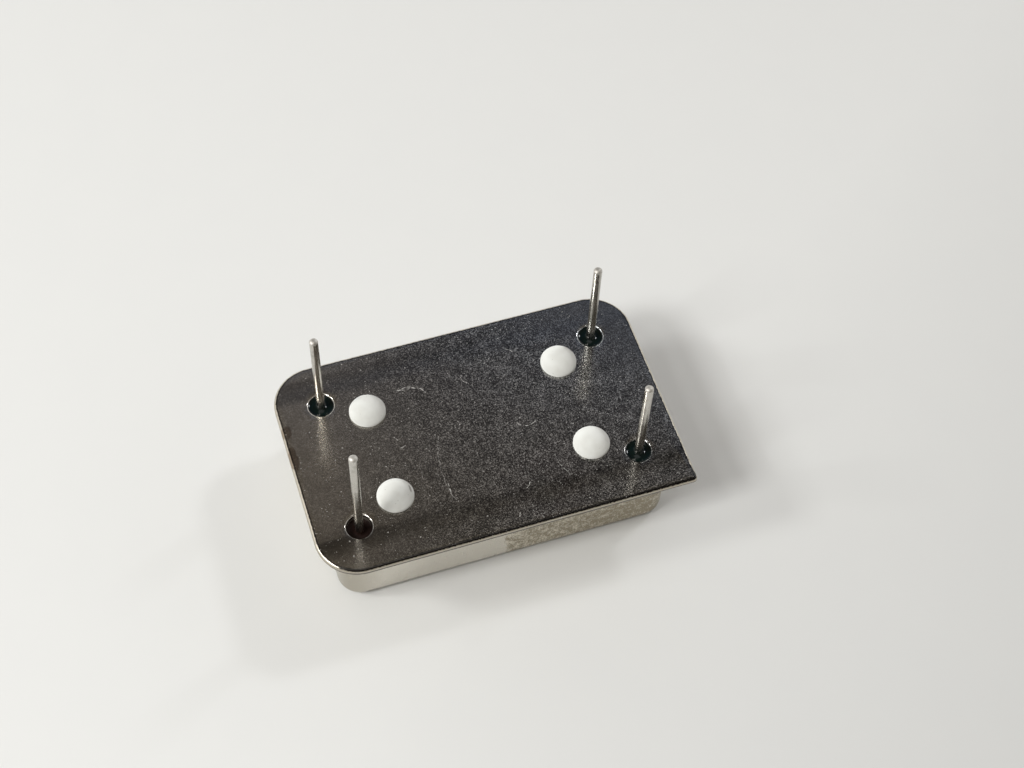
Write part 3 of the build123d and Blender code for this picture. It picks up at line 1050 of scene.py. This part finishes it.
def makeQuartz():
    # polished blank with a round metal electrode and its two tabs
    look = quartzFinish
    material, tree, shader, place = newFinish("quartz")
    middle = (blankLow + blankHigh) / 2
    away = vectorMaths(tree, "SUBTRACT", place, (middle.x, middle.y, 0))
    split = splitUp(tree, away)
    flat = vectorMaths(tree, "MULTIPLY", away, (1, 1, 0))
    disc = maths(tree, "LESS_THAN", lengthOf(tree, flat), look["electrodeRadius"])
    tab = maths(tree, "LESS_THAN", maths(tree, "ABSOLUTE", split["Y"]), look["tabHalf"])
    plated = maths(tree, "MAXIMUM", disc, tab)
    haze = noise(tree, place, look["hazeSize"])
    clear = mixed(tree, haze, look["light"], look["dark"])
    plug(
        tree, shader,
        Base_Color=mixed(tree, plated, clear, look["electrode"]),
        Metallic=plated,
        Roughness=roughened(tree, haze, *look["roughness"]),
    )
    return material


def dressInnerNodes():
    finishes = {slot: makeInnerFinish(slot, *look) for slot, look in innerFinishes.items()}
    finishes["quartz"] = makeQuartz()
    for part in record["subparts"]:
        if part["material_slot"] in finishes:
            node = frame["nodes"][part["node"]]
            node.data.materials.clear()
            node.data.materials.append(finishes[part["material_slot"]])


def settle(piece, nodes):
    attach(piece, "root")
    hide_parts(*nodes)


header = makeHeader()
header.data.materials.append(makeHeaderNickel())
settle(header, ["header"])
print("header plate:", len(header.data.polygons), "faces")

can = makeCan()
can.data.materials.append(makeCanNickel())
settle(can, ["can"])
print("can shell:", len(can.data.polygons), "faces")

pins = makePins(makePinNickel())
settle(pins, [f"pin_{number}" for number in pinNumbers])
seals = makeSeals(makeSealGlass())
settle(seals, [f"glass_seal_{number}" for number in livePins])
braze = makeBraze(makeBrazeDark())
settle(braze, ["ground_braze_7"])
beads = makeBeads(makeBeadWhite())
settle(beads, [f"standoff_{number}" for number in pinNumbers])
print("pins, seals and beads set on the grid")

dressInnerNodes()
print("inner pieces dressed")


# Stage: pale floor, soft light and the camera

floorLook = {
    "half": 1.5,
    "drop": 0.005 * mm,
    "pale": (0.785, 0.79, 0.775),
    "cool": (0.77, 0.775, 0.765),
    "shade": (0.76, 0.76, 0.76),        # painted shade, darker towards the near right
    "shadeAlong": (0.57, -0.82, 0.0),
    "shadeRange": (5 * mm, 48 * mm),
    "grainSize": 3 * mm,
    "roughness": 0.9,
    "specular": 0.1,
    "paintedGlow": (0.15, 1.2),                # painted glow: metres out, where it starts and where it reaches the horizon's brightness
}


def makeFloor():
    look = floorLook
    bm = bmesh.new()
    half, level = look["half"], -look["drop"]
    corners = [(-half, -half, level), (half, -half, level), (half, half, level), (-half, half, level)]
    bm.faces.new(addRing(bm, corners))
    floor = finishPiece("floor", bm)
    material, tree, shader, place = newFinish("paleFloor", roughness=look["roughness"])
    shader.inputs["Specular IOR Level"].default_value = look["specular"]
    grain = noise(tree, place, look["grainSize"], detail=4.0)
    tone = mixed(tree, grain, look["pale"], look["cool"])
    along = vectorMaths(tree, "DOT_PRODUCT", place, look["shadeAlong"], "Value")
    # painted shade: the floor darkens towards the near right
    tone = mixed(tree, ranged(tree, along, *look["shadeRange"]), tone, look["shade"], "MULTIPLY")
    away = lengthOf(tree, place)
    # painted glow: the far floor shines up to the horizon's brightness, though it is no lamp
    shader.inputs["Emission Color"].default_value = (1.0, 1.0, 1.0, 1.0)
    plug(
        tree, shader,
        Base_Color=tone,
        Emission_Strength=ranged(tree, away, *look["paintedGlow"], 0.0, worldLook["horizon"][0]),
    )
    material.cycles.emission_sampling = "NONE"
    floor.data.materials.append(material)
    return floor


lamps = {
    # turn about Z from +X and height in degrees, distance and size in metres, level on a white card, colour
    "leftLamp": (197, 45.5, 0.32, 0.075, 0.32, (1.0, 1.0, 0.985)),
    "backLamp": (167, 37.0, 0.32, 0.055, 0.16, (1.0, 1.0, 0.985)),
    "highLamp": (197, 60.0, 0.45, 0.050, 0.06, (1.0, 1.0, 0.985)),
    "rightLamp": (24, 42.0, 0.50, 0.060, 0.10, (0.97, 0.98, 1.0)),
    "topPanel": (230, 83.0, 0.45, 0.260, 0.11, (1.0, 1.0, 1.0)),
}


def makeLamp(name, turn, height, distance, size, level, colour):
    turn, height = math.radians(turn), math.radians(height)
    flat = math.cos(height)
    toward = Vector((flat * math.cos(turn), flat * math.sin(turn), math.sin(height)))
    data = bpy.data.lights.new(name, "AREA")
    data.size = size
    data.color = colour
    data.energy = level * math.pi ** 2 * distance ** 2 / toward.z
    lamp = bpy.data.objects.new(name, data)
    lamp.location = toward * distance
    lamp.rotation_euler = toward.to_track_quat("Z", "Y").to_euler()
    scene.collection.objects.link(lamp)


worldLook = {
    "overhead": ((0.160, 0.136, 0.105), (0.110, 0.117, 0.144)),     # warm near -X -Y, cool near +X +Y
    "tintLean": (2.0, -1.0),        # weight of the direction's Y beside its X, and offset
    "tintRange": (-0.02, 0.29),
    "horizon": (1.10, 1.10, 1.10),
    "fade": (0.66, 0.28),           # height of the direction where dark gives way to pale
    "front": (-1.0, -0.15),         # the near side stays dark
}


def makeWorld():
    look = worldLook
    world = bpy.data.worlds.new("softRoom")
    scene.world = world
    world.use_nodes = True
    tree = world.node_tree
    heading = addNode(tree, "ShaderNodeTexCoord").outputs["Generated"]
    split = splitUp(tree, heading)
    slant = maths(tree, "MULTIPLY_ADD", split["Y"], *look["tintLean"])
    slant = maths(tree, "ADD", split["X"], slant)
    ceiling = mixed(tree, ranged(tree, slant, *look["tintRange"]), *look["overhead"])
    low = ranged(tree, split["Z"], *look["fade"], smooth=True)
    low = maths(tree, "MULTIPLY", low, ranged(tree, split["Y"], *look["front"], smooth=True))
    tree.links.new(mixed(tree, low, ceiling, look["horizon"]), tree.nodes["Background"].inputs["Color"])


cameraLook = {
    "place": (-15.67, -45.71, 84.87),       # mm
    "aim": (2.53, 2.09, 4.85),              # mm, on the header's face
    "roll": 3.16,
    "lens": 62.0,
    "sensor": 36.0,
    "clip": 1 * mm,
}


def makeCamera():
    look = cameraLook
    data = bpy.data.cameras.new("camera")
    data.sensor_width = look["sensor"]
    data.lens = look["lens"]
    data.clip_start = look["clip"]
    camera = bpy.data.objects.new("camera", data)
    place = Vector(look["place"]) * mm
    heading = (Vector(look["aim"]) * mm - place).to_track_quat("-Z", "Y")
    camera.location = place
    camera.rotation_euler = (heading @ Quaternion((0, 0, 1), math.radians(look["roll"]))).to_euler()
    scene.collection.objects.link(camera)
    scene.camera = camera


makeFloor()
for name, look in lamps.items():
    makeLamp(name, *look)
makeWorld()
makeCamera()
print("stage set")
